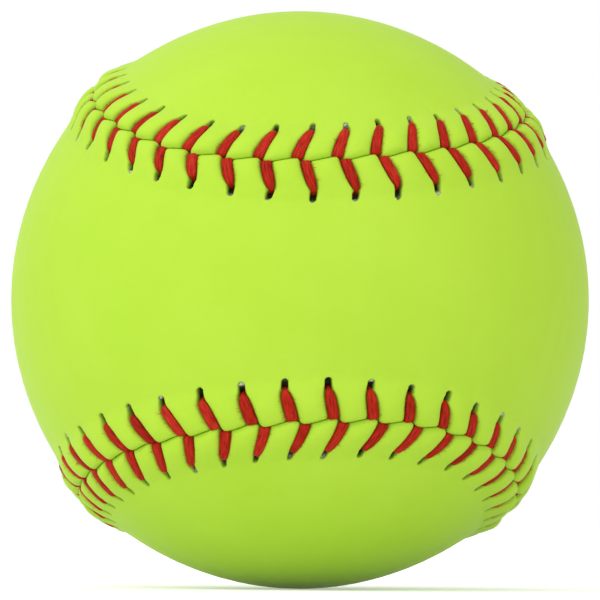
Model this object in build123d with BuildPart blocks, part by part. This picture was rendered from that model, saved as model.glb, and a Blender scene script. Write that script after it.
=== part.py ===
# A stitched ball: moulded core, cement, two figure-eight cover panels and two threads.
# Millimetres. The ball's centre is the origin, the front panel's waist faces -Y and
# +Z is up. The seam is four equal arcs, one round each lobe of the two panels.
import os
from math import acos, atan, cos, degrees, hypot, pi, radians, sin, sqrt, tan

from build123d import *

# Ball and cover
ball_circumference = 304.8
cover_thickness = 1.8
cement_thickness = 0.2
cement_clearance = 0.02
waist_half_angle = 25.3
seam_gap = 0.2
channel_rise = 0.65

# Raised lip of a panel, beside the seam
lip_height = 1.3
lip_crest = 2.4
lip_reach = 6.7

# Stitching
stitches_per_thread = 88
thread_diameter = 1.1
thread_clearance = 0.05
thread_bend = 0.1
leg_sink = 0.2
leg_bend_radius = 1.0
hole_diameter = 1.7
hole_distance = 5.7
crest_distance = 2.6
front_hole_lag = 2.35
back_hole_lag = 1.6
entry_offset = 0.82
entry_clearance = 0.1
start_tail = 0.7
end_tail = 0.3

cover_radius = ball_circumference / (2 * pi)
cover_inner_radius = cover_radius - cover_thickness
core_radius = cover_inner_radius - cement_thickness
outside_radius = cover_radius + 2 * lip_height

# Each lobe is a cap of the ball. Its axis leans from +Z towards -Y by lobe_lean,
# and the seam runs round it at lobe_angle, over twice half_sweep.
corner = sqrt(0.5)
waist = radians(waist_half_angle)
lobe_lean = atan((corner - sin(waist)) / cos(waist))
lobe_angle = pi / 2 - waist - lobe_lean
half_sweep = acos(-sin(lobe_lean) * corner / sin(lobe_angle))
arc_length = 2 * half_sweep * cover_radius * sin(lobe_angle)
seam_length = 4 * arc_length
stitch_pitch = seam_length / stitches_per_thread

lobe_axis = Vector(0, -sin(lobe_lean), cos(lobe_lean))
arc_start = Vector(-sin(half_sweep), -cos(half_sweep) * cos(lobe_lean), -cos(half_sweep) * sin(lobe_lean))
arc_plane = Plane((0, 0, 0), x_dir=arc_start, z_dir=arc_start.cross(lobe_axis))
sweep_axis = Axis((0, 0, 0), lobe_axis)
sweep_angle = degrees(2 * half_sweep)
lobe_turns = [
    Location((0, 0, 0)),
    Location((0, 0, 0), (0, 1, 0), 180),
    Location((0, 0, 0), (-1, 0, 1), 180),
    Location((0, 0, 0), (1, 0, 1), 180),
]


def section_circle(crest_distance, crest_radius, foot_distance, foot_radius):
    """Radius and centre radius of a section circle from its crest and a foot beside it."""
    spread = cos((foot_distance - crest_distance) / cover_radius)
    chord = foot_radius**2 + crest_radius**2 - 2 * foot_radius * crest_radius * spread
    radius = chord / (2 * (crest_radius - foot_radius * spread))
    return radius, crest_radius - radius


lip_radius, lip_centre = section_circle(lip_crest, cover_radius + lip_height, lip_reach, cover_radius)


def section_point(distance, radius):
    """Point of the seam's cross-section, at a distance along the ball from the seam."""
    angle = lobe_angle + distance / cover_radius
    return (radius * sin(angle), radius * cos(angle))


def lip_top(distance):
    """Radius of the lip's outer face at a distance from the seam."""
    angle = (distance - lip_crest) / cover_radius
    return lip_centre * cos(angle) + sqrt(lip_radius**2 - (lip_centre * sin(angle)) ** 2)


def seam_point(along, distance, radius):
    """Point at a length along the seam, a distance beside it (front is +) and a radius."""
    arc, rest = divmod(along % seam_length, arc_length)
    side = -1 if arc % 2 else 1
    angle = lobe_angle + side * distance / cover_radius
    turn = rest / (cover_radius * sin(lobe_angle)) - half_sweep
    x = -radius * sin(angle) * sin(turn)
    y = -radius * (cos(angle) * sin(lobe_lean) + sin(angle) * cos(turn) * cos(lobe_lean))
    z = radius * (cos(angle) * cos(lobe_lean) - sin(angle) * cos(turn) * sin(lobe_lean))
    for _ in range(int(arc)):
        x, y, z = -z, -y, x
    return Vector(x, y, z)


# Stitch routes. A thread comes up its hole, crosses the lip in a groove, goes down the
# seam and runs under the other panel to that panel's next hole.
longest_run = hypot(hole_distance, stitch_pitch)
run_radius = hypot(core_radius + thread_diameter / 2 + thread_clearance, longest_run / 2)
bend_radius = thread_diameter / 2 + thread_bend
groove_radius = thread_diameter / 2 + thread_clearance
entry_radius = thread_diameter / 2 + entry_clearance
channel_reach = hole_distance + entry_radius
channel_crest = channel_reach / 2
channel_top = run_radius + groove_radius
channel_radius, channel_centre = section_circle(
    channel_crest, channel_top + channel_rise, channel_reach, channel_top
)
corner_radii = [bend_radius, bend_radius, leg_bend_radius, bend_radius, bend_radius]


def hole_along(stitch, side):
    """Length along the seam of a stitch's hole, side 1 front and -1 back."""
    lag = front_hole_lag if side > 0 else back_hole_lag
    return (stitch + 0.5) * stitch_pitch - lag


def entry_along(stitch, side):
    """Length along the seam at which a stitch goes down into it."""
    return (stitch + 0.5) * stitch_pitch - side * entry_offset


def stitch_corners(stitch, side):
    """Corners of one stitch, from the foot of its hole to the foot of the seam."""
    hole = hole_along(stitch, side)
    entry = entry_along(stitch, side)
    crest = entry + (hole - entry) * crest_distance / hole_distance
    return [
        seam_point(hole, side * hole_distance, run_radius),
        seam_point(hole, side * hole_distance, lip_top(hole_distance) - leg_sink),
        seam_point(crest, side * crest_distance, lip_top(crest_distance) - leg_sink),
        seam_point(entry, 0, lip_top(0) - leg_sink),
        seam_point(entry, 0, run_radius),
    ]


def rounded_route(points, radii):
    """Straight runs through the points, joined by tangent arcs."""
    edges = []
    start = points[0]
    for before, here, after, radius in zip(points, points[1:], points[2:], radii):
        back = (before - here).normalized()
        ahead = (after - here).normalized()
        half = radians(back.get_angle(ahead)) / 2
        middle = here + (back + ahead).normalized() * (radius / sin(half) - radius)
        first = here + back * (radius / tan(half))
        last = here + ahead * (radius / tan(half))
        edges.append(Edge.make_line(start, first))
        edges.append(Edge.make_three_point_arc(first, middle, last))
        start = last
    edges.append(Edge.make_line(start, points[-1]))
    return edges


def thread_route(first_side):
    """Route of a thread whose first stitch is on the given side, with its tucked ends."""
    stitches = [stitch_corners(n, first_side * (-1) ** n) for n in range(stitches_per_thread)]
    corners = [corner for stitch in stitches for corner in stitch]
    closing = corners[0] - corners[-1]
    points = [corners[-1] + closing * start_tail, *corners, corners[-1] + closing * end_tail]
    return rounded_route(points, corner_radii * stitches_per_thread)


def rod(start, end, radius):
    """Round cutter between two points."""
    return Solid.make_cylinder(radius, (end - start).length, Plane(start, z_dir=end - start))


def hole_cutters(side):
    """Punched holes of one panel; each thread lies at the seam side of its hole."""
    slack = (hole_diameter - thread_diameter) / 2 - thread_clearance
    cutters = []
    for n in range(stitches_per_thread):
        foot = seam_point(hole_along(n, side), side * (hole_distance + slack), core_radius)
        head = seam_point(hole_along(n, side), side * (hole_distance + slack), outside_radius)
        cutters.append(rod(foot, head, hole_diameter / 2))
    return cutters


def entry_cutters(side):
    """Room for the threads that go down into the seam from one side."""
    cutters = []
    for n in range(stitches_per_thread):
        foot = seam_point(entry_along(n, side), 0, core_radius)
        head = seam_point(entry_along(n, side), 0, outside_radius)
        cutters.append(rod(foot, head, entry_radius))
    return cutters


def groove_cutters(side, run):
    """One run of the grooves in a panel's lip: 1 from the hole to the crest, 2 from there to the seam."""
    cutters = []
    for n in range(stitches_per_thread):
        corners = stitch_corners(n, side)
        cutters.append(rod(corners[run], corners[run + 1], groove_radius))
    return cutters


with BuildLine() as first_route:
    add(thread_route(1))

with BuildLine() as second_route:
    add(thread_route(-1))

first_path = first_route.wire()
second_path = second_route.wire()

with BuildPart() as thread_first_needle:
    with BuildSketch(Plane(first_path @ 0, z_dir=first_path % 0)):
        Circle(thread_diameter / 2)
    sweep(path=first_path)

with BuildPart() as thread_second_needle:
    with BuildSketch(Plane(second_path @ 0, z_dir=second_path % 0)):
        Circle(thread_diameter / 2)
    sweep(path=second_path)

# Rings of one lobe: the raised lips, the thread's channel under them and the seam's gap
with BuildPart() as lip_arc:
    with BuildSketch(arc_plane):
        with Locations(*[section_point(side * lip_crest, lip_centre) for side in (-1, 1)]):
            Circle(lip_radius)
    revolve(axis=sweep_axis, revolution_arc=sweep_angle)

with BuildPart() as channel_arc:
    with BuildSketch(arc_plane):
        with Locations(*[section_point(side * channel_crest, channel_centre) for side in (-1, 1)]):
            Circle(channel_radius)
    revolve(axis=sweep_axis, revolution_arc=sweep_angle)

with BuildPart() as gap_arc:
    with BuildSketch(arc_plane):
        with BuildLine():
            Polyline(
                section_point(-seam_gap / 2, channel_centre),
                section_point(seam_gap / 2, channel_centre),
                section_point(seam_gap / 2, outside_radius),
                section_point(-seam_gap / 2, outside_radius),
                close=True,
            )
        make_face()
    revolve(axis=sweep_axis, revolution_arc=sweep_angle)

# Core
with BuildPart() as core:
    Sphere(core_radius)

# Cement, one film under each panel
with BuildPart() as cement:
    Sphere(cover_inner_radius - cement_clearance)
    Sphere(core_radius + cement_clearance, mode=Mode.SUBTRACT)
    with Locations(*lobe_turns):
        add(channel_arc.part, mode=Mode.SUBTRACT)

with BuildPart() as cement_front:
    add(cement.solids().sort_by(Axis.Y)[0])

with BuildPart() as cement_back:
    add(cement.solids().sort_by(Axis.Y)[-1])

# Cover, parted along the seam
with BuildPart() as cover:
    Sphere(cover_radius)
    with Locations(*lobe_turns):
        add(lip_arc.part)
    Sphere(cover_inner_radius, mode=Mode.SUBTRACT)
    with Locations(*lobe_turns):
        add(channel_arc.part, mode=Mode.SUBTRACT)
    with Locations(*lobe_turns):
        add(gap_arc.part, mode=Mode.SUBTRACT)

with BuildPart() as cover_front:
    add(cover.solids().sort_by(Axis.Y)[0])
    add(hole_cutters(1), mode=Mode.SUBTRACT)
    add(entry_cutters(1) + entry_cutters(-1), mode=Mode.SUBTRACT)
    add(groove_cutters(1, 1), mode=Mode.SUBTRACT)
    add(groove_cutters(1, 2), mode=Mode.SUBTRACT)

with BuildPart() as cover_back:
    add(cover.solids().sort_by(Axis.Y)[-1])
    add(hole_cutters(-1), mode=Mode.SUBTRACT)
    add(entry_cutters(1) + entry_cutters(-1), mode=Mode.SUBTRACT)
    add(groove_cutters(-1, 1), mode=Mode.SUBTRACT)
    add(groove_cutters(-1, 2), mode=Mode.SUBTRACT)

os.makedirs("parts", exist_ok=True)
core.part.label = "core"
export_step(core.part, "parts/core.step")
cement_front.part.label = "cement_front"
export_step(cement_front.part, "parts/cement_front.step")
cement_back.part.label = "cement_back"
export_step(cement_back.part, "parts/cement_back.step")
cover_front.part.label = "cover_front"
export_step(cover_front.part, "parts/cover_front.step")
cover_back.part.label = "cover_back"
export_step(cover_back.part, "parts/cover_back.step")
thread_first_needle.part.label = "thread_first_needle"
export_step(thread_first_needle.part, "parts/thread_first_needle.step")
thread_second_needle.part.label = "thread_second_needle"
export_step(thread_second_needle.part, "parts/thread_second_needle.step")
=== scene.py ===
from math import acos, atan, cos, hypot, pi, radians, sin, sqrt

import bpy
import numpy as np
from mathutils import Matrix, Vector
from mathutils.geometry import delaunay_2d_cdt


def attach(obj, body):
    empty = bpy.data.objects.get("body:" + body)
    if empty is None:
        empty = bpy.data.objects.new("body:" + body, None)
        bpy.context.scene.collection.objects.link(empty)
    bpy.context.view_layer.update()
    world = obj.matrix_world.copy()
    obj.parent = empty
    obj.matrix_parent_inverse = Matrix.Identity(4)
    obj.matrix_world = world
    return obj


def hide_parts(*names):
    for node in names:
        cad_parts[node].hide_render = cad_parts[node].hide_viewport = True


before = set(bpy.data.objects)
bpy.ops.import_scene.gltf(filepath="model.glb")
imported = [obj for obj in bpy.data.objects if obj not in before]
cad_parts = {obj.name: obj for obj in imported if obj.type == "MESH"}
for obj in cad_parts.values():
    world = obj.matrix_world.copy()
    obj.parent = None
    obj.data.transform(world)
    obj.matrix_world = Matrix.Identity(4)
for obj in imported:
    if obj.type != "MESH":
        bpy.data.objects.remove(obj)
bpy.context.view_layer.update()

SEED = 7
rng = np.random.default_rng(SEED)
MM = 0.001
FRONT = 1
BACK = -1

# Sizes of the ball, in millimetres, the same as in the solid model
CIRCUMFERENCE = 304.8
COVER = 1.8
CEMENT = 0.2
WAIST = radians(25.3)
LIP_HEIGHT = 1.3
LIP_CREST = 2.4
LIP_REACH = 6.7
COUNT = 88
THREAD = 1.1
THREAD_CLEARANCE = 0.05
HOLE_AT = 5.7
HOLE_LAG = {FRONT: 2.35, BACK: 1.6}
ENTRY = 0.82

BALL = CIRCUMFERENCE / (2 * pi)
INNER = BALL - COVER
CORE = INNER - CEMENT

# The seam is four equal arcs, one round each lobe of the two panels
CORNER = sqrt(0.5)
LEAN = atan((CORNER - sin(WAIST)) / cos(WAIST))
LOBE = pi / 2 - WAIST - LEAN
HALF_SWEEP = acos(-sin(LEAN) * CORNER / sin(LOBE))
ARC = 2 * HALF_SWEEP * BALL * sin(LOBE)
SEAM = 4 * ARC
PITCH = SEAM / COUNT
HALF_COUNT = COUNT // 2
RUN = hypot(CORE + THREAD / 2 + THREAD_CLEARANCE, hypot(HOLE_AT, PITCH) / 2)

# Circle of the lip's section, through its crest and its foot
LIP_SPREAD = cos((LIP_REACH - LIP_CREST) / BALL)
LIP_TOP = BALL + LIP_HEIGHT
LIP_CHORD = BALL**2 + LIP_TOP**2 - 2 * BALL * LIP_TOP * LIP_SPREAD
LIP_RADIUS = LIP_CHORD / (2 * (LIP_TOP - BALL * LIP_SPREAD))
LIP_CENTRE = LIP_TOP - LIP_RADIUS

# Distances beside the seam where the legs end and where the sewn border of a panel ends
LEG_END = 5.12
BORDER = 11.2


def smooth(low, high, value):
    """Goes from 0 to 1 between two values, level at both ends."""
    t = np.clip((value - low) / (high - low), 0, 1)
    return t * t * (3 - 2 * t)


def bell(value, width):
    """One at zero, and fading to both sides."""
    return np.exp(-((value / width) ** 2))


def unit(vectors):
    """Vectors of length one in the same directions."""
    return vectors / np.linalg.norm(vectors, axis=-1, keepdims=True)


# The panels are sewn a little askew. The seam drifts sideways, and the stitches are moved
# along it and fan out, in the same way on both halves of the seam. Waves are pairs of how
# many there are in half the seam and how high they are.
DRIFT_MEAN = -0.12
DRIFT_WAVES = ((2, -0.16), (3, -0.33), (4, 0.5), (5, -0.25))
ADVANCE_WAVES = ((1, -0.43), (2, -1.13), (3, -0.42))
FAN_WAVES = ((1, 0.36), (2, -0.12))
# Tugs at the start (1) and the middle (-1) of each half: where, how far and how sharp
TUGS = ((1, 1.3, 18), (1, 0.5, 7), (-1, -0.9, 18))
DRIFT_FADES_FROM = 6.0


def waves(stitch, pairs, shape=np.sin):
    """Sum of waves along the seam, which repeats in its second half."""
    turn = 2 * pi * np.asarray(stitch) / HALF_COUNT
    total = 0 * turn
    for number, amount in pairs:
        total = total + amount * shape(number * turn)
    return total


def drift(along):
    """How far the seam lies to the front of its true line."""
    facing = np.cos(2 * pi * along / (HALF_COUNT * PITCH))
    tug = 0
    for end, amount, sharpness in TUGS:
        tug = tug + amount * np.exp(sharpness * (end * facing - 1))
    return waves(along / PITCH, DRIFT_WAVES) + DRIFT_MEAN + tug


def advance(stitch):
    """How far a stitch is moved along the seam."""
    return waves(stitch, ADVANCE_WAVES)


def fan(stitch):
    """How far the two legs of a stitch are turned apart, along the seam."""
    return waves(stitch, FAN_WAVES, np.cos)


# The legs are gathered at the start of each half of the seam, and short and sunk at its
# middle. Ranges are the stitches between which that begins and ends.
GATHER_SHARPNESS = 2.8
SHORT_BEGINS = (10.8, 15.5)
SHORT_ENDS = (27, 35)
HOLES_OUT = {FRONT: 0.15, BACK: 0.2}
HOLES_DRAWN_IN = {FRONT: 1.3, BACK: 0.3}
SUNK_BEGINS = (13.5, 17.5)
SUNK_ENDS = (27, 33)
SUNK_DEPTH = 0.28
PROUD_HEIGHT = 0.07
# Half the distance between the feet of a stitch's two legs: which stitch and how far
FEET_APART = (
    (0, 0.15), (6, 0.25), (9, 0.66), (21, 0.66), (40, 0.06), (50, 0.06),
    (53, 1.0), (60, 1.0), (66, 0.9), (84, 0.15), (COUNT, 0.15),
)


def gather(stitch):
    """How much the legs are gathered, from 0 to 1."""
    return np.exp(GATHER_SHARPNESS * (np.cos(2 * pi * stitch / HALF_COUNT) - 1))


def feet(stitch):
    """Half the distance between a stitch's two feet, along the seam."""
    return np.interp(np.mod(stitch, COUNT), *zip(*FEET_APART))


def between(stitch, begins, ends):
    """One from where something begins to where it ends, in each half of the seam."""
    turn = np.mod(stitch, HALF_COUNT)
    return smooth(*begins, turn) * (1 - smooth(*ends, turn))


def further_out(stitch, side):
    """How much further out the holes of a side lie than their usual distance from the seam."""
    return HOLES_OUT[side] - HOLES_DRAWN_IN[side] * between(stitch, SHORT_BEGINS, SHORT_ENDS)


def sunk(stitch):
    """How much deeper than usual the legs lie. Gathered legs lie proud."""
    return SUNK_DEPTH * between(stitch, SUNK_BEGINS, SUNK_ENDS) - PROUD_HEIGHT * gather(stitch)


def place(along, beside, radius):
    """Points from lengths along the seam, distances beside it (front is +) and radii."""
    along, beside, radius = np.broadcast_arrays(along, beside, radius)
    along = np.mod(along, SEAM)
    beside = beside + drift(along) * (1 - smooth(DRIFT_FADES_FROM, BORDER, np.abs(beside)))
    arc = np.minimum((along // ARC).astype(int), 3)
    angle = LOBE + np.where(arc % 2 == 1, -1, 1) * beside / BALL
    turn = (along - arc * ARC) / (BALL * sin(LOBE)) - HALF_SWEEP
    x = -radius * np.sin(angle) * np.sin(turn)
    y = -radius * (np.cos(angle) * sin(LEAN) + np.sin(angle) * np.cos(turn) * cos(LEAN))
    z = radius * (np.cos(angle) * cos(LEAN) - np.sin(angle) * np.cos(turn) * sin(LEAN))
    # Each arc is the one before it, turned a quarter about Y and mirrored in Y
    for k in (1, 2, 3):
        past = arc >= k
        x, y, z = np.where(past, -z, x), np.where(past, -y, y), np.where(past, x, z)
    return np.stack([x, y, z], -1)


# Soft forms of the sewn border
SWELL_HEIGHT = 0.28
SWELL_REACH = 13
PUFF = 0.6
SINK = 0.15
PILLOW_CREST = 1.9
PILLOW_REACH = 2.6
PILLOW_STARTS = 0.7
LIP_SHARE = 0.7
LIP_ROUNDING = 0.28
LIP_DROP = 0.03
ROLL_WIDE = 0.9
ROLL_DEEP = 0.42
SWAY = 0.38
SWAY_LEAST = 0.45
SWAY_BY_FEET = 0.6
SWAY_REACH = 1.3
# Rounds in which the stitch at a length along the seam is found
STITCH_ROUNDS = 4


def swell(beside):
    """Broad rise of the cover towards the seam."""
    return SWELL_HEIGHT * bell(np.asarray(beside), SWELL_REACH)


def pillow_share(beside):
    """How much of the swelling between two stitches there is, at distances beside the seam."""
    beside = np.asarray(beside)
    return bell(beside - PILLOW_CREST, PILLOW_REACH) * smooth(0.0, PILLOW_STARTS, beside)


def lip(beside):
    """Height of the raised lip over the ball, rounded off at its foot, with the broad rise."""
    angle = (beside - LIP_CREST) / BALL
    inside = np.maximum(LIP_RADIUS**2 - (LIP_CENTRE * np.sin(angle)) ** 2, 0.0)
    height = LIP_CENTRE * np.cos(angle) + np.sqrt(inside) - BALL
    rounded = 0.5 * (height + np.sqrt(height**2 + LIP_ROUNDING))
    return LIP_SHARE * (rounded - LIP_DROP) + swell(beside)


def edge_roll(beside):
    """How far the edge of a panel rolls down into the seam."""
    short = np.clip(1 - np.asarray(beside) / ROLL_WIDE, 0, 1)
    return ROLL_DEEP * (1 - np.sqrt(1 - short**2))


def leg_level(beside):
    """Radius of the cover under the legs, between the swellings."""
    return BALL + lip(beside) - SINK * PUFF * pillow_share(beside) - edge_roll(beside)


def seam_sway(along):
    """Sideways sway of the seam line: it is drawn across between the two legs of a stitch."""
    stitch = along / PITCH
    for _ in range(STITCH_ROUNDS):
        stitch = (along - advance(stitch)) / PITCH
    offset = np.mod(stitch, 1.0) - 0.5
    foot = ENTRY / PITCH
    across = np.sin(np.clip(offset / foot, -1, 1) * pi / 2)
    back = np.cos((np.abs(offset) - foot) / (0.5 - foot) * pi / 2) * np.sign(offset)
    share = SWAY_LEAST + SWAY_BY_FEET * feet(stitch)
    return -SWAY * share * np.where(np.abs(offset) <= foot, across, back)


# Every stitch is a little different, as sewn by hand. Values are drawn about a mean with a
# spread, and the slots' lengths between a least and a most.
EACH_STITCH = (2, COUNT)


def by_side(values):
    """Values for the stitches of the front panel and of the back panel."""
    return dict(zip((FRONT, BACK), values))


hole_shift = by_side(rng.normal(0, 0.10, EACH_STITCH))
hole_out = by_side(rng.normal(0, 0.14, EACH_STITCH))
entry_shift = by_side(rng.normal(0, 0.07, EACH_STITCH))
leg_width = by_side(rng.normal(1.0, 0.05, EACH_STITCH))
slot_long = by_side(rng.uniform(0.8, 1.15, EACH_STITCH))
slot_fibre = by_side(np.clip(rng.normal(0.55, 0.5, EACH_STITCH), 0, 1))
slot_turn = by_side(rng.normal(0, 0.35, EACH_STITCH))
puff = by_side(rng.normal(1.0, 0.16, EACH_STITCH))
leg_tone = by_side(rng.normal(1.0, 0.07, EACH_STITCH))

# Legs of the stitches. The slots go on past the legs and turn off from them.
ENTRY_FAN = 0.5
HOLE_FAN = 1.5
LEG_BEND = 1.4
GATHERED_FRONT_BEND = 0.95
GATHERED_FRONT_POWER = 0.6
GATHERED_BACK_BEND = 0.7
SLOT_FROM = 0.92
SLOT_TO = 1.3
SLOT_TURN = {FRONT: -0.1, BACK: 0.45}
LEG_WIDE = {FRONT: 1.8, BACK: 1.66}
LEG_TAPER = 0.72
LEG_TAPER_POWER = 5
GATHERED_WIDER = 0.2
GATHERED_PINCH = 0.68


def stitch_at(n):
    """Length along the seam of the middle of a stitch."""
    return (n + 0.5) * PITCH + advance(n + 0.5)


def leg_along(n, side, beside):
    """Length along the seam of a leg's middle line, at distances beside the seam."""
    m = n % COUNT
    spread = side * fan(n + 0.5)
    entry = stitch_at(n) - side * feet(n + 0.5) + ENTRY_FAN * spread + entry_shift[side][m]
    hole = stitch_at(n) - HOLE_LAG[side] + HOLE_FAN * spread + hole_shift[side][m]
    t = np.clip(np.asarray(beside) / (HOLE_AT + further_out(n + 0.5, side)), 0, SLOT_TO)
    if side == FRONT:
        bend = LEG_BEND - GATHERED_FRONT_BEND * gather(n + 0.5) ** GATHERED_FRONT_POWER
    else:
        bend = LEG_BEND + GATHERED_BACK_BEND * gather(n + 0.5)
    past = np.maximum(t - SLOT_FROM, 0)
    bow = np.minimum(t, SLOT_FROM) ** bend + (slot_turn[side][m] + SLOT_TURN[side]) * past
    return entry + (hole - entry) * bow


def leg_half_width(n, side, beside):
    """Half the width of a leg, which tapers towards its hole."""
    t = np.clip(np.asarray(beside) / (LEG_END + further_out(n + 0.5, side)), 0, 1)
    gathered = gather(n + 0.5) if side == FRONT else 0.0
    pinch = (1 + GATHERED_WIDER * gathered) * (1 - GATHERED_PINCH * gathered * (1 - t) ** 2)
    wide = LEG_WIDE[side] - LEG_TAPER * t**LEG_TAPER_POWER
    return 0.5 * pinch * leg_width[side][n % COUNT] * wide


# Small uneven creases of the sewn border, on a grid of random heights
CREASE_ROWS = 12
CREASE_COLUMNS = 440
CREASE_STEP = 1.2
CREASE_HEIGHT = 0.03
CREASE_ENDS = (6.5, 9.0)
# Just short of the last row, so that there is always a row beyond
CREASE_LIMIT = CREASE_ROWS - 1.01
crumple_grid = rng.normal(0, 1, (CREASE_ROWS, CREASE_COLUMNS))


def crumple(along, beside):
    """Heights of the creases, smoothed between random ones."""
    x = np.mod(along / SEAM, 1.0) * CREASE_COLUMNS
    y = np.clip(beside / CREASE_STEP, 0, CREASE_LIMIT) + 0 * along
    row = y.astype(int)
    column = x.astype(int)
    u = smooth(0, 1, x - column)
    w = smooth(0, 1, y - row)
    column = column % CREASE_COLUMNS
    following = (column + 1) % CREASE_COLUMNS
    low = crumple_grid[row, column] * (1 - u) + crumple_grid[row, following] * u
    high = crumple_grid[row + 1, column] * (1 - u) + crumple_grid[row + 1, following] * u
    return low * (1 - w) + high * w


# Rows of points beside the seam, close together where the edge and the slots are
EDGE_ROWS = [0.03, 0.06, 0.12, 0.2, 0.32, 0.5, 0.75]
LEG_ROWS = [1.1, 1.6, 2.2, 2.8, 3.4, 3.8, 4.15, 4.45, 4.7, 4.9]
SLOT_ROWS = [5.06, 5.2, 5.36, 5.54, 5.74, 5.94, 6.14, 6.34, 6.52, 6.68, 6.82, 6.96, 7.1, 7.24, 7.4]
OUTER_ROWS = [7.65, 8.1, 8.8, 9.8, BORDER]
ROWS = np.array(EDGE_ROWS + LEG_ROWS + SLOT_ROWS + OUTER_ROWS)
# Columns of points to both sides of a leg, close together at the edges of the leg
OFFSETS = np.array([0, 0.16, 0.3, 0.42, 0.56, 0.72, 0.85, 0.96, 1.08, 1.25, 1.6, 2.05, 2.5])
COLUMNS = np.concatenate([-OFFSETS[:0:-1], OFFSETS, [PITCH / 2]])
WIDE = len(COLUMNS) * COUNT

# Swellings between the legs, grooves under them and notches where they go down
PUFF_BLEND = 0.8
PUFF_ROUNDNESS = 2.4
GROOVE_ROOM = 0.16
GROOVE_STEEPNESS = 5
GROOVE_DEEP = 0.62
GROOVE_ENDS = (5.0, 6.0)
NOTCH_DEEP = 0.1
NOTCH_LONG = 0.5

# Slots of the holes, with frayed backing at their outer ends and a dimple round them
SLOT_AT = {FRONT: 6.15, BACK: 6.0}
SLOT_HALF_LONG = {FRONT: 1.0, BACK: 0.88}
SLOT_HALF_WIDE = 0.52
SLOT_ROUND_END = 0.42
SLOT_NARROWS = 0.10
SLOT_NARROWS_FROM = 0.3
SLOT_DEEP = 1.35
SLOT_RIM = (-0.12, 0.10)
# Where the painted shade in a slot fades out. It is a little wider than the slot, so its walls are
# painted dark as well as its inside.
PIT_SHADE_RIM = (-0.10, 0.12)
FRAY_REACH = 0.8
FRAY_FILLS = 0.85
DIMPLE_DEEP = 0.10
DIMPLE_WIDE = 1.3
DIMPLE_LONG = 1.0
DIMPLE_OUT = 0.1

# Faint ripples outside the slots
RIPPLE_HEIGHT = 0.02
RIPPLES_PER_STITCH = 3
RIPPLE_SHIFT = 2.4
RIPPLE_AT = 7.2
RIPPLE_REACH = 0.9

# Shade of the cover: at a panel's edge, in lines and hollows beside the legs, under the legs
EDGE_SHADE = 0.6
EDGE_SHADE_ENDS = (0.02, 0.16)
LINE_SHADE = 0.35
LINE_WIDE = 0.16
LINE_ENDS = (5.0, 5.8)
HOLLOW_SHADE = 0.10
HOLLOW_WIDE = 0.75
HOLLOW_ENDS = (4.5, 6.5)
LEG_SHADE = 0.75
LEG_SHADE_ENDS = (4.9, 5.7)


def slot_edge(n, side, across, beside):
    """A stitch's slot: distances outside its edge, where its middle is and half its length."""
    middle = SLOT_AT[side] + hole_out[side][n] + further_out(n + 0.5, side)
    half_long = SLOT_HALF_LONG[side] * slot_long[side][n]
    past = np.maximum(np.abs(beside - middle) - half_long + SLOT_ROUND_END, 0)
    narrower = SLOT_NARROWS * smooth(middle - SLOT_NARROWS_FROM, middle + half_long, beside)
    return np.sqrt(across**2 + past**2) - SLOT_HALF_WIDE + narrower, middle, half_long


def seam_shade(across, half, groove, beside, usual):
    """Shade round one leg. The usual distances leave out how much further out its hole lies."""
    off_leg = np.abs(across) - half
    edge = EDGE_SHADE * (1 - smooth(*EDGE_SHADE_ENDS, beside))
    line = bell(off_leg, LINE_WIDE) * (1 - smooth(*LINE_ENDS, usual))
    hollow = bell(np.maximum(off_leg, 0), HOLLOW_WIDE) * (1 - smooth(*HOLLOW_ENDS, usual))
    under_leg = groove * (1 - smooth(*LEG_SHADE_ENDS, usual))
    shade = edge + LINE_SHADE * line + HOLLOW_SHADE * hollow + LEG_SHADE * under_leg
    return np.clip(shade, 0, 1)


def stitch_surface(n, side):
    """Skin round one stitch: lengths along the seam, heights, its slot's painted shade, fibre and
    shade.
    """
    beside = ROWS[:, None]
    usual = beside - further_out(n + 0.5, side)
    leg = leg_along(n, side, ROWS)
    after = 0.5 * (leg + leg_along(n + 1, side, ROWS)) - leg
    before = leg - 0.5 * (leg + leg_along(n - 1, side, ROWS))
    stretch = np.where(COLUMNS >= 0, after[:, None], before[:, None]) / (PITCH / 2)
    across = COLUMNS * stretch
    half = leg_half_width(n, side, ROWS)[:, None]

    gap = np.clip((np.abs(across) - half) / (stretch * PITCH / 2 - half), 0, 1)
    blend = smooth(-PUFF_BLEND, PUFF_BLEND, COLUMNS)
    size = (1 - blend) * puff[side][n - 1] + blend * puff[side][n]
    pillow = size * (1 - (1 - gap) ** PUFF_ROUNDNESS) - SINK
    height = lip(beside) + PUFF * pillow * pillow_share(beside)

    groove = np.exp(-((np.abs(across) / (half + GROOVE_ROOM)) ** GROOVE_STEEPNESS))
    deep = (GROOVE_DEEP + max(sunk(n + 0.5), 0)) * (1 - smooth(*GROOVE_ENDS, usual))
    notch = NOTCH_DEEP * smooth(NOTCH_LONG, 0.0, beside)
    height = height - (deep + notch) * groove

    outside, middle, half_long = slot_edge(n, side, across, beside)
    hole = 1 - smooth(*SLOT_RIM, outside)
    frayed = smooth(middle, middle + FRAY_REACH * half_long, beside)
    fibre = slot_fibre[side][n] * hole * frayed
    height = height - SLOT_DEEP * hole * (1 - FRAY_FILLS * fibre)
    dimple = bell(across, DIMPLE_WIDE) * bell(beside - middle - DIMPLE_OUT, DIMPLE_LONG)
    height = height - DIMPLE_DEEP * dimple

    ripple = np.cos(2 * pi * COLUMNS / PITCH * RIPPLES_PER_STITCH + n * RIPPLE_SHIFT)
    height = height - RIPPLE_HEIGHT * ripple * bell(beside - RIPPLE_AT, RIPPLE_REACH)
    height = height - edge_roll(beside)
    # Mask of the painted shade in the slot, which darkens the slot and its walls where they would lie
    # in shadow
    pit_shade = 1 - smooth(*PIT_SHADE_RIM, outside)
    shade = seam_shade(across, half, groove, beside, usual)
    return leg[:, None] + across, height, pit_shade, fibre, shade


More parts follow.
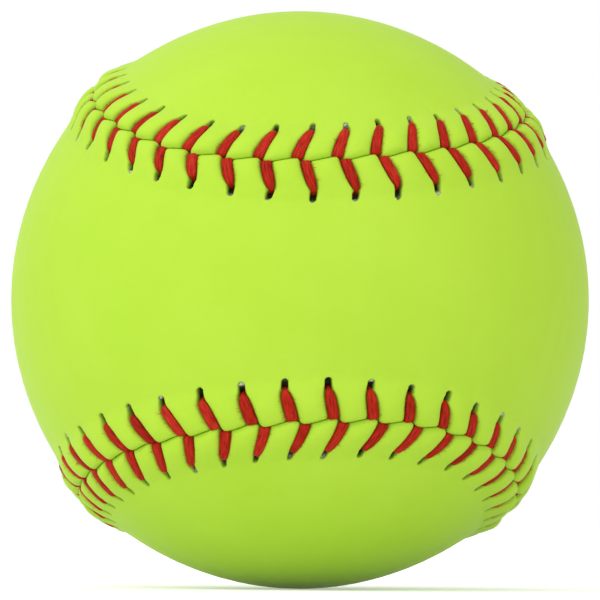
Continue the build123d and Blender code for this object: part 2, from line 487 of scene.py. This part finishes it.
def panel_surface(side):
    """Skin of a panel's sewn border, in rows and columns: lengths along the seam, points
    and marks for the material."""
    stitches = [stitch_surface(n, side) for n in range(COUNT)]
    along, height, pit_shade, fibre, shade = (np.concatenate(parts, axis=1) for parts in zip(*stitches))
    beside = ROWS[:, None]
    height += CREASE_HEIGHT * crumple(along, beside) * (1 - pit_shade) * (1 - smooth(*CREASE_ENDS, beside))
    sway = seam_sway(along) * bell(beside, SWAY_REACH)
    points = place(along, side * beside + sway, BALL + height)
    return along, points, {"pit_shade": pit_shade, "fibre": fibre, "shade": shade}


# Under side of a panel: its edge goes down to the thread's channel, which then comes down
# onto the cement. Rows are distances beside the seam and radii.
CHANNEL_EDGE_RISE = 0.7
CHANNEL_RISE = 1.0
CHANNEL_WIDE = 2.4
CHANNEL_FOOT_AT = 4.6
CHANNEL_FOOT_RADIUS = 46.9
UNDER_EDGE = (EDGE_ROWS[0], RUN + CHANNEL_EDGE_RISE)
UNDER_ROWS = (
    (CHANNEL_WIDE, RUN + CHANNEL_RISE),
    (CHANNEL_FOOT_AT, CHANNEL_FOOT_RADIUS),
    (BORDER, INNER),
)


def under_side(along, side):
    """Points of a panel's under side, row by row."""
    beside, radius = UNDER_EDGE
    rows = [place(along[0], side * beside + seam_sway(along[0]), radius)]
    for beside, radius in UNDER_ROWS:
        rows.append(place(along[-1], side * beside, radius))
    return np.concatenate(rows)


def flat_map(points, side):
    """Spreads a panel flat about the middle of its waist."""
    x, y, z = np.moveaxis(unit(points), -1, 0)
    if side == BACK:
        x, y, z = z, -y, -x
    far = np.arccos(np.clip(-y, -1, 1))
    turn = np.arctan2(z, x)
    return np.stack([far * np.cos(turn), far * np.sin(turn)], -1)


def unflat(flat, side):
    """Directions of the points of a panel that was spread flat."""
    far = np.hypot(flat[:, 0], flat[:, 1])
    turn = np.arctan2(flat[:, 1], flat[:, 0])
    x = np.sin(far) * np.cos(turn)
    y = -np.cos(far)
    z = np.sin(far) * np.sin(turn)
    if side == BACK:
        x, y, z = -z, -y, x
    return np.stack([x, y, z], -1)


def spiral_points(count):
    """Directions spread evenly over the whole ball, on a spiral."""
    index = np.arange(count) + 0.5
    height = 1 - 2 * index / count
    spin = pi * (1 + sqrt(5)) * index
    ring = np.sqrt(1 - height**2)
    return np.stack([ring * np.cos(spin), ring * np.sin(spin), height], -1)


# The round of a panel: how many points the whole ball has, and their least distance from
# the border, in radians
ROUND_POINTS = 5200
ROUND_CLEARANCE = 0.028
# Every so many points of the border are looked at for distances from it
CLEARANCE_SAMPLE = 9
NEAREST_SAMPLE = 5
# Settings of the fill: triangles inside the border only, and how close points are the same
INSIDE_ONLY = 1
SAME_POINT = 1e-7


def fill_border(border, side):
    """Fills a flat border: points, each one's place in the border or -1, and triangles."""
    dots = flat_map(spiral_points(ROUND_POINTS), side)
    sample = border[::CLEARANCE_SAMPLE]
    away = np.array([np.min(np.hypot(*(sample - dot).T)) for dot in dots])
    corners = [Vector(p) for p in np.concatenate([border, dots[away > ROUND_CLEARANCE]])]
    loop = list(range(WIDE))
    flat, _, triangles, sources, *_ = delaunay_2d_cdt(corners, [], [loop], INSIDE_ONLY, SAME_POINT)
    in_border = [next((s for s in source if s < WIDE), -1) for source in sources]
    return np.array([tuple(p) for p in flat]), np.array(in_border), triangles


def band_faces(starts, flip):
    """Quads between closed rows of points, which start at the given indices."""
    here = np.arange(WIDE)
    following = (here + 1) % WIDE
    faces = []
    for first, second in zip(starts, starts[1:]):
        quads = np.stack([first + here, first + following, second + following, second + here], 1)
        faces += (quads[:, ::-1] if flip else quads).tolist()
    return faces


def new_mesh(name, verts, faces, attributes):
    """A smooth object from points in millimetres, faces and values at each point."""
    mesh = bpy.data.meshes.new(name)
    mesh.from_pydata((np.asarray(verts) * MM).tolist(), [], faces)
    for key, values in attributes.items():
        layer = mesh.attributes.new(key, "FLOAT", "POINT")
        layer.data.foreach_set("value", np.asarray(values, dtype=np.float32))
    mesh.polygons.foreach_set("use_smooth", [True] * len(mesh.polygons))
    mesh.update()
    piece = bpy.data.objects.new(name, mesh)
    bpy.context.scene.collection.objects.link(piece)
    return piece


def make_cover(name, side):
    """One cover panel: its sewn border, its under side and its round, on both faces."""
    along, points, marks = panel_surface(side)
    outer = points.reshape(-1, 3)
    under = under_side(along, side)
    outer_starts = [k * WIDE for k in range(len(ROWS))]
    under_starts = [len(outer) + k * WIDE for k in range(1 + len(UNDER_ROWS))]
    faces = band_faces(outer_starts, side == BACK)
    faces += band_faces(outer_starts[:1] + under_starts, side == FRONT)

    flat, in_border, triangles = fill_border(flat_map(points[-1], side), side)
    inside = in_border < 0
    middle = unflat(flat[inside], side)
    nearest = (middle @ unit(points[-1])[::NEAREST_SAMPLE].T).max(axis=1)
    beside = BORDER + BALL * np.arccos(np.clip(nearest, -1, 1))
    verts = np.concatenate([outer, under, middle * (BALL + swell(beside))[:, None], middle * INNER])

    top = outer_starts[-1] + in_border
    low = under_starts[-1] + in_border
    top[inside] = len(outer) + len(under) + np.arange(len(middle))
    low[inside] = top[inside] + len(middle)
    for triangle in triangles:
        corners = list(triangle)
        p, q, r = verts[top[corners]]
        order = 1 if np.dot(np.cross(q - p, r - p), p) > 0 else -1
        faces.append(top[corners][::order].tolist())
        faces.append(low[corners][::-order].tolist())

    unmarked = np.zeros(len(verts) - len(outer))
    attributes = {key: np.concatenate([mark.ravel(), unmarked]) for key, mark in marks.items()}
    return new_mesh(name, verts, faces, attributes)


# The thread at places along a stitch: depths, and half its width and half its thickness
HEADING_STEP = 0.3
HOLE_FOOT_RISE = 0.15
HOLE_FOOT_SIZE = (0.45, 0.45)
HOLE_NECK_DEEP = 0.55
HOLE_NECK_SIZE = (0.46, 0.42)
HOLE_BEND_IN = 0.12
HOLE_BEND_DEEP = 0.42
HOLE_BEND_SIZE = (0.52, 0.4)
LEG_KEYS = np.array([4.7, 4.25, 3.7, 3.1, 2.4, 1.7, 1.1, 0.66])
LEG_DEEP = 0.26
LEG_HALF_THICK = 0.42
FOOT_AT = 0.3
FOOT_SWAY = 0.9
FOOT_DEEP = 0.42
FOOT_HALF_THICK = 0.4
DOWN_AT = 0.05
DOWN_HEADING_AT = 0.1
DOWN_DEEP = 0.85
DOWN_NARROWER = 0.95
DOWN_HALF_THICK = 0.38
DIVE_RISE = 0.7
DIVE_SIZE = (0.6, 0.5)
RUN_SHARES = (0.18, 0.5, 0.82)
RUN_RISE = 0.02
RUN_SIZE = (0.52, 0.5)


def thread_keys(n, side):
    """Key points of one stitch: along, beside, radius, heading, half width, half thickness."""
    low = sunk(n + 0.5)
    leg_end = LEG_END + further_out(n + 0.5, side)

    def heading(beside):
        inner = leg_along(n, side, max(beside - HEADING_STEP, 0.0))
        outer = leg_along(n, side, beside + HEADING_STEP)
        return np.array([inner - outer, -2 * HEADING_STEP * side])

    def on_leg(beside, radius, half, thick):
        return leg_along(n, side, beside), side * beside, radius, heading(beside), half, thick

    # Up through the hole and over its rim
    out = leg_end + hole_out[side][n % COUNT]
    rim = out - HOLE_BEND_IN
    keys = [
        on_leg(out, RUN + HOLE_FOOT_RISE, *HOLE_FOOT_SIZE),
        on_leg(out, BALL - HOLE_NECK_DEEP, *HOLE_NECK_SIZE),
        on_leg(rim, leg_level(rim) - HOLE_BEND_DEEP - low, *HOLE_BEND_SIZE),
    ]
    # Flat along the leg
    for beside in LEG_KEYS * (leg_end / LEG_END):
        radius = leg_level(beside) - LEG_DEEP - low
        keys.append(on_leg(beside, radius, leg_half_width(n, side, beside), LEG_HALF_THICK))
    # Down into the seam
    entry = leg_along(n, side, 0.0)
    sway = seam_sway(entry)
    half = leg_half_width(n, side, 0)
    foot = side * FOOT_AT + sway * FOOT_SWAY
    foot_radius = leg_level(FOOT_AT) - FOOT_DEEP - low
    keys.append((entry, foot, foot_radius, heading(FOOT_AT), half, FOOT_HALF_THICK))
    down = side * DOWN_AT + sway
    down_radius = leg_level(0.0) - DOWN_DEEP
    down_size = (half * DOWN_NARROWER, DOWN_HALF_THICK)
    keys.append((entry, down, down_radius, heading(DOWN_HEADING_AT), *down_size))
    dive = stitch_at(n) - side * ENTRY
    keys.append((dive, side * -DOWN_AT, RUN + DIVE_RISE, heading(0.0), *DIVE_SIZE))
    # Hidden run under the other panel to its next hole
    goal_out = LEG_END + further_out(n + 1.5, -side)
    goal = leg_along(n + 1, -side, goal_out)
    run = np.array([goal - dive, -side * goal_out])
    for share in RUN_SHARES:
        keys.append((dive + share * run[0], share * run[1], RUN + RUN_RISE, run, *RUN_SIZE))
    return keys


# Points of the thread between two keys, and its section with the ridges of twisted strands
STEPS = (0.0, 0.5)
SIDES = 20
SECTION_POWER = 0.85
RIDGES = 6
RIDGE_HEIGHT = 0.05
RIDGE_TURN = 1.1
LOOK_AHEAD = 0.05
# Keys of the last run that are left off, because the thread ends under the cover
LAST_KEYS = 2


def curve_through(points):
    """Smooth line through points, in steps."""
    index = np.arange(len(points) - 1)
    here = points[index]
    there = points[index + 1]
    leaving = 0.5 * (there - points[np.maximum(index - 1, 0)])
    arriving = 0.5 * (points[np.minimum(index + 2, len(points) - 1)] - here)
    lines = []
    for t in STEPS:
        start = (2 * t**3 - 3 * t**2 + 1) * here + (t**3 - 2 * t**2 + t) * leaving
        lines.append(start + (-2 * t**3 + 3 * t**2) * there + (t**3 - t**2) * arriving)
    return np.stack(lines, 1).reshape(-1, 3)


def in_steps(values):
    """Values from each key to the next, in the same steps as the line."""
    lines = [values[:-1] * (1 - t) + values[1:] * t for t in STEPS]
    return np.stack(lines, 1).reshape(-1, *values.shape[1:])


def tube_faces(start, rings, sides, flip=False):
    """Faces of a closed tube, whose rings of points follow each other from an index on."""
    first = start + np.arange(rings - 1)[:, None] * sides
    here = first + np.arange(sides)
    beyond = first + (np.arange(sides) + 1) % sides
    order = [0, 3, 2, 1] if flip else [0, 1, 2, 3]
    quads = np.stack([here, beyond, beyond + sides, here + sides], -1)[..., order].reshape(-1, 4)
    caps = [np.arange(start, start + sides)[::-1], np.arange(sides) + start + (rings - 1) * sides]
    return quads.tolist() + [(cap[::-1] if flip else cap).tolist() for cap in caps]


def strand(first):
    """The thread itself: points, faces, and the turn, length and tone at each point."""
    keys = []
    signs = []
    tones = []
    for n in range(COUNT):
        side = first * (-1) ** n
        stitch = thread_keys(n, side)
        if n == COUNT - 1:
            stitch = stitch[:-LAST_KEYS]
        keys += stitch
        signs += [(-1) ** n] * len(stitch)
        tones += [leg_tone[side][n]] * len(stitch)
    along, beside, radius, heading, half, thick = (np.array(values) for values in zip(*keys))
    points = place(along, beside, radius)
    step_along, step_beside = LOOK_AHEAD * unit(heading).T
    ahead = place(along + step_along, beside + step_beside, BALL) - place(along, beside, BALL)
    across = unit(np.cross(unit(points), ahead) * np.array(signs)[:, None])

    path = curve_through(points)
    tangent = unit(np.gradient(path, axis=0))
    normal = unit(np.cross(tangent, in_steps(across)))
    lateral = np.cross(normal, tangent)
    length = np.concatenate([[0], np.cumsum(np.linalg.norm(np.diff(path, axis=0), axis=1))])

    angle = np.arange(SIDES) * 2 * pi / SIDES
    ridge = 1 + RIDGE_HEIGHT * np.cos(RIDGES * angle + RIDGE_TURN * length[:, None])
    wide = np.sign(np.cos(angle)) * np.abs(np.cos(angle)) ** SECTION_POWER
    high = np.sign(np.sin(angle)) * np.abs(np.sin(angle)) ** SECTION_POWER
    aside = (in_steps(half)[:, None] * wide * ridge)[..., None] * lateral[:, None, :]
    upward = (in_steps(thick)[:, None] * high * ridge)[..., None] * normal[:, None, :]
    verts = (path[:, None, :] + aside + upward).reshape(-1, 3)
    turn = np.tile(angle / (2 * pi), len(path))
    tone = np.repeat(tones[:-1], len(STEPS) * SIDES)
    marks = np.stack([turn, np.repeat(length, SIDES), tone], 1)
    return verts, tube_faces(0, len(path), SIDES), marks


# Loose fibres that stand off the edges of the legs, with ranges for their random values
FIBRES_PER_LEG = (6, 13)
FIBRE_AT = (0.7, 4.7)
FIBRE_REACH = (0.25, 0.85)
FIBRE_LEAN = (-0.7, 0.7)
FIBRE_RISE = (0.0, 0.35)
FIBRE_STEPS = np.array([0.0, 0.35, 0.7, 1.0])
FIBRE_SIDES = 3
FIBRE_ROOT = 0.8
FIBRE_LIFT = 0.1
FIBRE_SLOPE = 0.1
FIBRE_RISE_SHARE = 0.5
FIBRE_HALF = 0.032
FIBRE_TAPER = 0.5
FIBRE_TURN = (0, 1)
FIBRE_LENGTH = (0, 99)
FIBRE_TONE = 1.2


def loose_fibre(n, side):
    """Points of one thin fibre, in rings from its root on the leg to its tip."""
    v = rng.uniform(*FIBRE_AT) * (1 + further_out(n + 0.5, side) / LEG_END)
    edge = rng.choice([-1, 1])
    reach = rng.uniform(*FIBRE_REACH)
    lean = rng.uniform(*FIBRE_LEAN)
    rise = rng.uniform(*FIBRE_RISE)
    t = FIBRE_STEPS
    along = leg_along(n, side, v) + edge * (leg_half_width(n, side, v) * FIBRE_ROOT + reach * t)
    beside = side * v + reach * lean * t**2
    root = leg_level(v) - sunk(n + 0.5) + FIBRE_LIFT
    line = place(along, beside, root + (FIBRE_SLOPE + FIBRE_RISE_SHARE * rise) * t)
    up = unit(line)
    flat = np.cross(unit(np.gradient(line, axis=0)), up)
    thin = FIBRE_HALF * (1 - FIBRE_TAPER * t)[:, None]
    angles = np.arange(FIBRE_SIDES) * 2 * pi / FIBRE_SIDES
    rings = [line + thin * (np.cos(angle) * flat + np.sin(angle) * up) for angle in angles]
    return np.stack(rings, 1).reshape(-1, 3)


def make_thread(name, first):
    """One needle's thread, whose first stitch is on the given side, with its loose fibres."""
    points, faces, mark = strand(first)
    verts = [points]
    marks = [mark]
    start = len(points)
    for n in range(COUNT):
        for _ in range(rng.integers(*FIBRES_PER_LEG)):
            points = loose_fibre(n, first * (-1) ** n)
            turn = rng.uniform(*FIBRE_TURN)
            length = rng.uniform(*FIBRE_LENGTH)
            verts.append(points)
            marks.append(np.tile([turn, length, FIBRE_TONE], (len(points), 1)))
            faces += tube_faces(start, len(FIBRE_STEPS), FIBRE_SIDES, flip=True)
            start += len(points)
    attributes = dict(zip(("turn", "length", "tone"), np.concatenate(marks).T))
    return new_mesh(name, np.concatenate(verts), faces, attributes)


cover_front = make_cover("cover_front_skin", FRONT)
cover_back = make_cover("cover_back_skin", BACK)
thread_first = make_thread("thread_first_strand", FRONT)
thread_second = make_thread("thread_second_strand", BACK)


# Material helpers
def material(name):
    """A new material with its nodes, its links and its main shader."""
    mat = bpy.data.materials.new(name)
    mat.use_nodes = True
    nodes = mat.node_tree.nodes
    return mat, nodes, mat.node_tree.links, nodes["Principled BSDF"]


def add(nodes, kind, **values):
    """A new node with the given settings."""
    node = nodes.new(kind)
    for key, value in values.items():
        setattr(node, key, value)
    return node


def feed(links, value, socket):
    """Links an output to a socket, or sets a plain value on it."""
    if isinstance(value, bpy.types.NodeSocket):
        links.new(value, socket)
    else:
        socket.default_value = value


def combine(nodes, links, operation, first, second):
    """Two values joined by one operation."""
    node = add(nodes, "ShaderNodeMath", operation=operation)
    feed(links, first, node.inputs[0])
    feed(links, second, node.inputs[1])
    return node.outputs[0]


def noise(nodes, links, scale, detail, rough, vector=None):
    """Noise in the object's own space, or over another vector if one is given."""
    node = add(nodes, "ShaderNodeTexNoise")
    node.inputs["Scale"].default_value = scale
    node.inputs["Detail"].default_value = detail
    node.inputs["Roughness"].default_value = rough
    if vector is None:
        vector = add(nodes, "ShaderNodeTexCoord").outputs["Object"]
    links.new(vector, node.inputs["Vector"])
    return node.outputs["Fac"]


def ramp(nodes, links, value, stops):
    """Colour of a value between stops, which are places and colours."""
    node = add(nodes, "ShaderNodeValToRGB")
    elements = node.color_ramp.elements
    for k, (at, colour) in enumerate(stops):
        element = elements[k] if k < 2 else elements.new(at)
        element.position = at
        element.color = (*colour, 1)
    links.new(value, node.inputs["Fac"])
    return node.outputs["Color"]


def mix(nodes, links, factor, first, second):
    """Two colours mixed by a factor."""
    node = add(nodes, "ShaderNodeMix", data_type="RGBA")
    feed(links, factor, node.inputs[0])
    feed(links, first, node.inputs[6])
    feed(links, second, node.inputs[7])
    return node.outputs[2]


def attribute(nodes, name):
    """Value that the mesh holds at each point under a name."""
    return add(nodes, "ShaderNodeAttribute", attribute_name=name).outputs["Fac"]


def bump(nodes, links, height, strength, distance, under=None):
    """Surface direction with small heights, over another such direction if one is given."""
    node = add(nodes, "ShaderNodeBump")
    node.inputs["Strength"].default_value = strength
    node.inputs["Distance"].default_value = distance
    links.new(height, node.inputs["Height"])
    if under is not None:
        links.new(under, node.inputs["Normal"])
    return node.outputs["Normal"]


# Materials
def cover_material():
    """Yellow-green cover with painted shade in its slots and round the legs, with grain and pores."""
    mat, nodes, links, shader = material("optic_cover")
    in_shade = (0.15, 0.21, 0.005, 1)
    # Near-black painted shade for the slots and their walls
    slot_painted_shade = (0.012, 0.016, 0.003, 1)
    cover_stops = [(0.3, (0.450, 0.716, 0.044)), (0.7, (0.478, 0.744, 0.055))]
    lint_stops = [(0.36, (0.16, 0.17, 0.09)), (0.56, (0.80, 0.82, 0.70))]
    tone = noise(nodes, links, scale=60, detail=4, rough=0.6)
    lint = noise(nodes, links, scale=2600, detail=2, rough=0.5)
    colour = ramp(nodes, links, tone, cover_stops)
    colour = mix(nodes, links, attribute(nodes, "shade"), colour, in_shade)
    # Painted shade: the slots and their walls are mixed to near black by their mask
    colour = mix(nodes, links, attribute(nodes, "pit_shade"), colour, slot_painted_shade)
    colour = mix(nodes, links, attribute(nodes, "fibre"), colour, ramp(nodes, links, lint, lint_stops))
    links.new(colour, shader.inputs["Base Color"])
    shader.inputs["Roughness"].default_value = 0.5
    shader.inputs["Specular IOR Level"].default_value = 0.1
    grain = noise(nodes, links, scale=3200, detail=3, rough=0.55)
    pores = noise(nodes, links, scale=900, detail=2, rough=0.5)
    normal = bump(nodes, links, grain, strength=0.12, distance=0.1 * MM)
    normal = bump(nodes, links, pores, strength=0.08, distance=0.3 * MM, under=normal)
    links.new(normal, shader.inputs["Normal"])
    return mat


def thread_material():
    """Red thread with fine strands along it, lighter or darker from stitch to stitch."""
    mat, nodes, links, shader = material("waxed_thread")
    strands_round = 26.0
    strands_along = 0.55
    stops = [(0.3, (0.20, 0.004, 0.001)), (0.5, (0.44, 0.013, 0.003)), (0.75, (0.58, 0.035, 0.018))]
    coords = add(nodes, "ShaderNodeCombineXYZ")
    turn = combine(nodes, links, "MULTIPLY", attribute(nodes, "turn"), strands_round)
    length = combine(nodes, links, "MULTIPLY", attribute(nodes, "length"), strands_along)
    links.new(turn, coords.inputs["X"])
    links.new(length, coords.inputs["Y"])
    strands = noise(nodes, links, scale=1.0, detail=3.0, rough=0.5, vector=coords.outputs[0])
    level = combine(nodes, links, "MULTIPLY", strands, attribute(nodes, "tone"))
    links.new(ramp(nodes, links, level, stops), shader.inputs["Base Color"])
    shader.inputs["Roughness"].default_value = 0.6
    shader.inputs["Specular IOR Level"].default_value = 0.12
    links.new(bump(nodes, links, strands, strength=0.5, distance=0.12 * MM), shader.inputs["Normal"])
    return mat


def plain_material(name, low, high, scale, rough):
    """Mottled material of a hidden piece, between two colours."""
    mat, nodes, links, shader = material(name)
    tone = noise(nodes, links, scale, detail=4, rough=0.6)
    links.new(ramp(nodes, links, tone, [(0.3, low), (0.7, high)]), shader.inputs["Base Color"])
    shader.inputs["Roughness"].default_value = rough
    links.new(bump(nodes, links, tone, strength=0.3, distance=0.3 * MM), shader.inputs["Normal"])
    return mat


cover_mat = cover_material()
thread_mat = thread_material()
CORE_COLOURS = ((0.70, 0.60, 0.36), (0.80, 0.71, 0.46))
CEMENT_COLOURS = ((0.62, 0.50, 0.26), (0.74, 0.63, 0.38))
core_mat = plain_material("moulded_core", *CORE_COLOURS, scale=400, rough=0.6)
cement_mat = plain_material("dried_cement", *CEMENT_COLOURS, scale=700, rough=0.45)

for piece, node, mat, slot in (
    (cover_front, "cover_front", cover_mat, "cover"),
    (cover_back, "cover_back", cover_mat, "cover"),
    (thread_first, "thread_first_needle", thread_mat, "thread"),
    (thread_second, "thread_second_needle", thread_mat, "thread"),
):
    piece.data.materials.append(mat)
    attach(piece, "root")
    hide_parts(node)

for node, mat in (("core", core_mat), ("cement_front", cement_mat), ("cement_back", cement_mat)):
    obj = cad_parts[node]
    if not obj.material_slots:
        obj.data.materials.append(mat)
    for spot in obj.material_slots:
        spot.material = mat


# Floor, light and camera, in metres. The camera's distance is in radii of the ball, whose
# radius in the picture is in pixels, and its sensor is in millimetres.
WHITE = (1, 1, 1, 1)
LAMP_AT = (-0.55, -0.65, 0.75)
BALL_TURN = Vector((radians(-2.08), radians(0.45), radians(4.2)))
RADII_AWAY = 20.0
RADIUS_PIXELS = 288.9
PICTURE_PIXELS = 600.0
SENSOR = 36.0
SEES_TO = 50.0
FLOOR_HALF = 4
FLOOR_GAP = 0.02 * MM


def seen_rays(nodes, links):
    """One for rays that show the white background: from the camera, reflected or passed through."""
    ray = add(nodes, "ShaderNodeLightPath")
    total = ray.outputs["Is Camera Ray"]
    for kind in ("Is Glossy Ray", "Is Transmission Ray"):
        total = combine(nodes, links, "MAXIMUM", total, ray.outputs[kind])
    return total


def make_floor(brightness, glow):
    """A pale floor just under the ball, which glows for the rays that see it."""
    mesh = bpy.data.meshes.new("floor")
    corners = [(x * FLOOR_HALF, y * FLOOR_HALF, 0) for x, y in ((-1, -1), (1, -1), (1, 1), (-1, 1))]
    mesh.from_pydata(corners, [], [(0, 1, 2, 3)])
    floor = bpy.data.objects.new("floor", mesh)
    floor.location.z = -(BALL * MM + FLOOR_GAP)
    bpy.context.scene.collection.objects.link(floor)
    mat, nodes, links, shader = material("pale_floor")
    shader.inputs["Base Color"].default_value = (brightness, brightness, brightness, 1)
    shader.inputs["Roughness"].default_value = 1.0
    shader.inputs["Specular IOR Level"].default_value = 0.0
    shader.inputs["Emission Color"].default_value = WHITE
    strength = combine(nodes, links, "MULTIPLY", seen_rays(nodes, links), glow)
    links.new(strength, shader.inputs["Emission Strength"])
    mesh.materials.append(mat)
    return floor


def level_towards(nodes, links, direction, facing, level, kind):
    """Light level that changes with how much the sky faces a direction."""
    dot = add(nodes, "ShaderNodeVectorMath", operation="DOT_PRODUCT")
    dot.inputs[1].default_value = direction
    links.new(add(nodes, "ShaderNodeTexCoord").outputs["Generated"], dot.inputs[0])
    node = add(nodes, "ShaderNodeMapRange", interpolation_type=kind)
    for name, value in zip(("From Min", "From Max", "To Min", "To Max"), (*facing, *level)):
        node.inputs[name].default_value = value
    links.new(dot.outputs["Value"], node.inputs["Value"])
    return node.outputs["Result"]


def make_world():
    """A sky brighter from the upper left front and dim at the right back, seen as white."""
    world = bpy.data.worlds.new("studio")
    bpy.context.scene.world = world
    world.use_nodes = True
    nodes = world.node_tree.nodes
    links = world.node_tree.links
    left_front = (-0.55, -0.79, 0.27)
    right_back = (0.66, 0.74, 0.12)
    spread = level_towards(nodes, links, left_front, (-1.0, 1.0), (0.58, 1.26), "LINEAR")
    dimmed = level_towards(nodes, links, right_back, (0.3, 0.95), (1.0, 0.25), "SMOOTHSTEP")
    sky = nodes["Background"]
    sky.inputs["Strength"].default_value = 1.0
    links.new(combine(nodes, links, "MULTIPLY", spread, dimmed), sky.inputs["Color"])
    white = add(nodes, "ShaderNodeBackground")
    white.inputs["Color"].default_value = WHITE
    white.inputs["Strength"].default_value = 1.0
    which = add(nodes, "ShaderNodeMixShader")
    links.new(seen_rays(nodes, links), which.inputs[0])
    links.new(sky.outputs[0], which.inputs[1])
    links.new(white.outputs[0], which.inputs[2])
    links.new(which.outputs[0], nodes["World Output"].inputs["Surface"])


def area_light(name, location, size, power):
    """A round lamp that points at the ball's centre."""
    data = bpy.data.lights.new(name, "AREA")
    data.shape = "DISK"
    data.size = size
    data.energy = power
    lamp = bpy.data.objects.new(name, data)
    lamp.location = location
    lamp.rotation_euler = (-Vector(location)).to_track_quat("-Z", "Y").to_euler()
    bpy.context.scene.collection.objects.link(lamp)


def make_camera():
    """A camera in front of the ball, moved round it so that the ball looks turned."""
    view = Matrix.Rotation(BALL_TURN.length, 3, BALL_TURN.normalized()).transposed()
    data = bpy.data.cameras.new("camera")
    data.sensor_width = SENSOR
    data.lens = SENSOR * RADIUS_PIXELS * sqrt(RADII_AWAY**2 - 1) / PICTURE_PIXELS
    data.clip_end = SEES_TO
    camera = bpy.data.objects.new("camera", data)
    look = view @ Vector((0, 1, 0))
    up = view @ Vector((0, 0, 1))
    axes = Matrix((look.cross(up), up, -look)).transposed().to_4x4()
    camera.matrix_world = Matrix.Translation(-look * (RADII_AWAY * BALL * MM)) @ axes
    bpy.context.scene.collection.objects.link(camera)
    bpy.context.scene.camera = camera


floor = make_floor(brightness=0.96, glow=0.4)
make_world()
area_light("key", LAMP_AT, size=0.6, power=1.8)
make_camera()
bpy.context.scene.view_settings.view_transform = "Standard"
